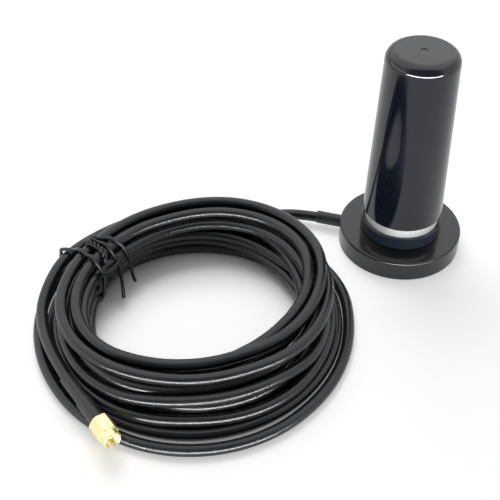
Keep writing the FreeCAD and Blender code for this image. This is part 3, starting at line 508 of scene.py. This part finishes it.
def make_materials():
    """The finish of every slot in the record."""
    moulded("base_plastic", (0.011, 0.0135, 0.0155), (0.015, 0.0175, 0.0195), (0.14, 0.21),
            (0.3, 0.00003), IOR=1.5)
    moulded("pad_rubber", (0.018, 0.018, 0.018), (0.026, 0.026, 0.026), (0.7, 0.85),
            (0.5, 0.0001), IOR=1.45)
    moulded("magnet_ferrite", (0.05, 0.05, 0.052), (0.08, 0.08, 0.085), (0.45, 0.7),
            (0.6, 0.00006), grain=2500.0, Metallic=0.4)
    turned("plate_steel", (0.5, 0.51, 0.52), (0.6, 0.61, 0.62), (0.28, 0.42),
           (0.2, 0.00002), Metallic=1.0)
    turned("brass", (0.72, 0.53, 0.24), (0.82, 0.63, 0.32), (0.18, 0.34),
           (0.2, 0.00002), Metallic=1.0)
    moulded("white_insulator", (0.82, 0.81, 0.77), (0.88, 0.87, 0.84), (0.35, 0.5),
            (0.2, 0.00002), grain=2600.0, IOR=1.38, Subsurface_Weight=0.1, Subsurface_Scale=0.0006)
    moulded("collar_plastic", (0.015, 0.021, 0.034), (0.020, 0.028, 0.044), (0.16, 0.24),
            (0.15, 0.00003), IOR=1.5)
    moulded("seal_rubber", (0.015, 0.015, 0.015), (0.022, 0.022, 0.022), (0.45, 0.6),
            (0.3, 0.00004), IOR=1.5)
    turned("nickel", (0.95, 0.95, 0.96), (1.0, 1.0, 1.0), (0.26, 0.36),
           (0.35, 0.00003), lines=6000.0, Metallic=0.45)
    moulded("radome_plastic", (0.0045, 0.0075, 0.0145), (0.0065, 0.0095, 0.0175), (0.07, 0.12),
            (0.06, 0.00008), grain=260.0, marks=35.0, IOR=1.52)
    moulded("board_laminate", (0.02, 0.13, 0.06), (0.03, 0.17, 0.08), (0.25, 0.38),
            (0.15, 0.00002), grain=3000.0, IOR=1.5)
    moulded("copper", (0.62, 0.3, 0.18), (0.8, 0.42, 0.27), (0.25, 0.4),
            (0.15, 0.00002), grain=3500.0, Metallic=1.0)
    moulded("foam", (0.05, 0.05, 0.052), (0.09, 0.09, 0.095), (0.85, 0.98),
            (0.9, 0.0004), grain=1400.0, marks=400.0)
    turned("spring_steel", (0.55, 0.55, 0.54), (0.65, 0.65, 0.64), (0.2, 0.32),
           (0.15, 0.00002), Metallic=1.0)
    moulded("cable_jacket", (0.006, 0.0075, 0.0095), (0.009, 0.0105, 0.0130), (0.25, 0.32),
            (0.2, 0.00003), grain=1600.0, marks=90.0, IOR=1.5)
    moulded("sleeve_rubber", (0.012, 0.014, 0.015), (0.017, 0.019, 0.020), (0.3, 0.4),
            (0.3, 0.00004), IOR=1.5)
    moulded("tie_coating", (0.006, 0.007, 0.009), (0.010, 0.011, 0.014), (0.34, 0.48),
            (0.45, 0.00006), grain=2400.0, marks=250.0, IOR=1.5)
    moulded("heat_shrink", (0.014, 0.016, 0.017), (0.020, 0.022, 0.023), (0.34, 0.46),
            (0.4, 0.00008), grain=1400.0, marks=140.0, IOR=1.5)
    turned("gold_plate", (1.0, 0.86, 0.43), (1.0, 0.92, 0.53), (0.16, 0.3),
           (0.25, 0.00002), lines=7000.0, centre=PLUG_REAR, turn=PLUG_TURN, Metallic=0.75)


def dress_nodes():
    """Every piece of the construction takes the finish of its slot."""
    for part in frame["record"]["subparts"]:
        for slot in nodes[part["node"]].material_slots:
            slot.material = materials[part["material_slot"]]


def tie_piece():
    """The wire tie: a closed loop, two long strands with cut ends, a short one, and the twist on top."""
    loop = np.vstack([on_bundle(TIE_LOOP), on_bundle(TIE_LOOP[:1])])
    wires = [wire_grid(smooth_path(loop, STRAND_STEPS), TIE_RADIUS)]
    for strand in TIE_STRANDS:
        wires.append(wire_grid(smooth_path(on_bundle(strand), STRAND_STEPS), TIE_RADIUS))
    core = smooth_path(on_bundle(TIE_TWIST), TWIST_STEPS)
    across, upward = frames(core)
    turn = np.linspace(0, 2 * math.pi * TIE_TWIST_TURNS, len(core))[:, None]
    for start in (0, math.pi):
        aside = np.cos(turn + start) * across + np.sin(turn + start) * upward
        wires.append(wire_grid(core + TWISTED_OFFSET * aside, TWISTED_RADIUS))
    piece = joined_mesh("wire_tie_strands", wires)
    piece.data.materials.append(materials["tie_coating"])
    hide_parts("wire_tie")
    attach(piece, "antenna")
    return piece


def nut_thread():
    """The thread inside the nut's nose: a triangle carried along a helix round the plug's axis."""
    axis, across, upward = plug_axes()
    turns = (THREAD_END - THREAD_START) / THREAD_PITCH
    steps = int(THREAD_STEPS * turns)
    share = np.linspace(0, 1, steps)
    turn = 2 * math.pi * turns * share
    fade = np.minimum(1, np.minimum(share, 1 - share) * turns / THREAD_FADE)
    root = np.full(steps, THREAD_ROOT)
    crest = THREAD_ROOT - (THREAD_ROOT - THREAD_CREST) * fade
    run = THREAD_START + THREAD_PITCH * turns * share
    profile = [(root, run + THREAD_HALF_WIDTH), (crest, run), (root, run - THREAD_HALF_WIDTH)]
    radial = np.cos(turn)[:, None] * across + np.sin(turn)[:, None] * upward
    rear = np.array(PLUG_REAR)
    rows = [rear + radial * radius[:, None] + axis * place[:, None] for radius, place in profile]
    piece = joined_mesh("nut_thread", [np.stack(rows, axis=1)])
    piece.data.materials.append(materials["gold_plate"])
    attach(piece, "plug_nut")


def cable_piece(tie):
    """The whole cable, from the base round every turn of the bundle to the plug."""
    route = np.vstack([LEAD_ROUTE, wound_turns(), END_ROUTE])
    piece = spline_curve("cable", route, CABLE_DIAMETER / 2)
    piece.data.materials.append(materials["cable_jacket"])
    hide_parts("cable_lead", "cable_coil", "cable_end")
    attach(piece, "antenna")


def shown_rays(tree, path):
    """A mask that is 1 where the camera sees a surface, straight or in a reflection or through glass."""
    mirrored = arithmetic(tree, "MAXIMUM", path["Is Glossy Ray"], path["Is Transmission Ray"])
    return arithmetic(tree, "MAXIMUM", path["Is Camera Ray"], mirrored)


def floor_white():
    """White that fades into the background far away, and glows a little outside the bundle's ring."""
    material = bpy.data.materials.new("floor_white")
    material.use_nodes = True
    tree = material.node_tree
    shader = tree.nodes["Principled BSDF"]
    shader.inputs["Roughness"].default_value = 0.9
    shader.inputs["Specular IOR Level"].default_value = 0.0
    shown = shown_rays(tree, add_node(tree, "ShaderNodeLightPath").outputs)
    seen = between(tree, "RGBA", shown, shade(*FLOOR_LIT), shade(*FLOOR_SEEN))
    tree.links.new(seen, shader.inputs["Base Color"])
    place = add_node(tree, "ShaderNodeTexCoord").outputs["Object"]
    distance = add_node(tree, "ShaderNodeVectorMath", {0: place}, operation="LENGTH")
    far = ranged(tree, distance.outputs["Value"], FADE_START, FADE_END, rise="SMOOTHSTEP")
    ring = add_node(tree, "ShaderNodeVectorMath", {0: place, 1: (*BUNDLE_CENTRE, 0)}, operation="DISTANCE")
    outside = ranged(tree, ring.outputs["Value"], RING_INNER, RING_OUTER, high=RING_GLOW)
    glowing = arithmetic(tree, "MAXIMUM", far, outside)
    strength = between(tree, "FLOAT", shown, SURROUNDINGS_LIT, SURROUNDINGS_SEEN)
    glow = add_node(tree, "ShaderNodeEmission", {"Color": shade(1, 1, 1), "Strength": strength})
    mixed = add_node(tree, "ShaderNodeMixShader", {
        0: glowing, 1: shader.outputs["BSDF"], 2: glow.outputs["Emission"]})
    tree.links.new(mixed.outputs["Shader"], tree.nodes["Material Output"].inputs["Surface"])
    return material


def floor_piece():
    """A plain white floor that fades into the white background, and is as bright as it far away.

    Outside the bundle's ring the floor glows a little, so that its shadows are pale there. Inside the ring
    they keep their full depth.
    """
    mesh = bpy.data.meshes.new("floor")
    low, high = -FLOOR_REACH, FLOOR_REACH
    mesh.from_pydata([(low, low, 0), (high, low, 0), (high, high, 0), (low, high, 0)], [], [(0, 1, 2, 3)])
    floor = bpy.data.objects.new("floor", mesh)
    bpy.context.scene.collection.objects.link(floor)
    mesh.materials.append(floor_white())


def surroundings():
    """White all round. In reflections it is dim in front, by the nearness of a direction to FRONT."""
    world = bpy.data.worlds.new("white surroundings")
    bpy.context.scene.world = world
    world.use_nodes = True
    tree = world.node_tree
    tree.nodes.clear()
    way = add_node(tree, "ShaderNodeTexCoord").outputs["Generated"]
    facing = add_node(tree, "ShaderNodeVectorMath", {0: way, 1: FRONT}, operation="DOT_PRODUCT")
    dim = ranged(tree, facing.outputs["Value"], DIM_START, DIM_END, SURROUNDINGS_SEEN, DIM_STRENGTH,
                 rise="SMOOTHSTEP")
    path = add_node(tree, "ShaderNodeLightPath").outputs
    seen = between(tree, "FLOAT", path["Is Glossy Ray"], SURROUNDINGS_SEEN, dim)
    strength = between(tree, "FLOAT", shown_rays(tree, path), SURROUNDINGS_LIT, seen)
    background = add_node(tree, "ShaderNodeBackground", {"Color": shade(1, 1, 1), "Strength": strength})
    output = add_node(tree, "ShaderNodeOutputWorld")
    tree.links.new(background.outputs["Background"], output.inputs["Surface"])


def area_light(name, place, size, power, diffuse=True, glossy=True):
    """A soft lamp turned towards the object. It may light surfaces, show in their gloss, or both."""
    data = bpy.data.lights.new(name, "AREA")
    data.shape = "RECTANGLE"
    data.size, data.size_y = size
    data.energy = power
    lamp = bpy.data.objects.new(name, data)
    lamp.location = place
    lamp.rotation_euler = (Vector(OBJECT_MIDDLE) - Vector(place)).to_track_quat("-Z", "Y").to_euler()
    lamp.visible_diffuse = diffuse
    lamp.visible_glossy = glossy
    bpy.context.scene.collection.objects.link(lamp)


def lamps():
    """Soft lamps above and behind the object, and low strips that show in the gloss of the cable."""
    area_light("overhead", place=(-0.1, 0.52, 1.2), size=(2.6, 2.0), power=8.5)
    area_light("key", place=(-0.25, 0.7, 1.05), size=(0.8, 0.8), power=9.0, glossy=False)
    area_light("front strip", place=(-0.05, -1.1, 0.06), size=(2.8, 0.10), power=16.0)
    area_light("front shine", place=(-0.05, -1.11, 0.065), size=(2.8, 0.12), power=46.0, diffuse=False)
    area_light("left strip", place=(-1.1, -0.1, 0.3), size=(1.2, 0.12), power=1.2, diffuse=False)


def camera():
    """The camera at the photograph's viewing angle."""
    data = bpy.data.cameras.new("camera")
    data.sensor_width = SENSOR
    data.lens = LENS
    view = bpy.data.objects.new("camera", data)
    view.location = CAMERA_PLACE
    view.rotation_euler = (CAMERA_TURN, 0, 0)
    bpy.context.scene.collection.objects.link(view)
    bpy.context.scene.camera = view


make_materials()
dress_nodes()
cable_piece(tie_piece())
nut_thread()
floor_piece()
surroundings()
lamps()
camera()
bpy.context.scene.view_settings.view_transform = "Standard"
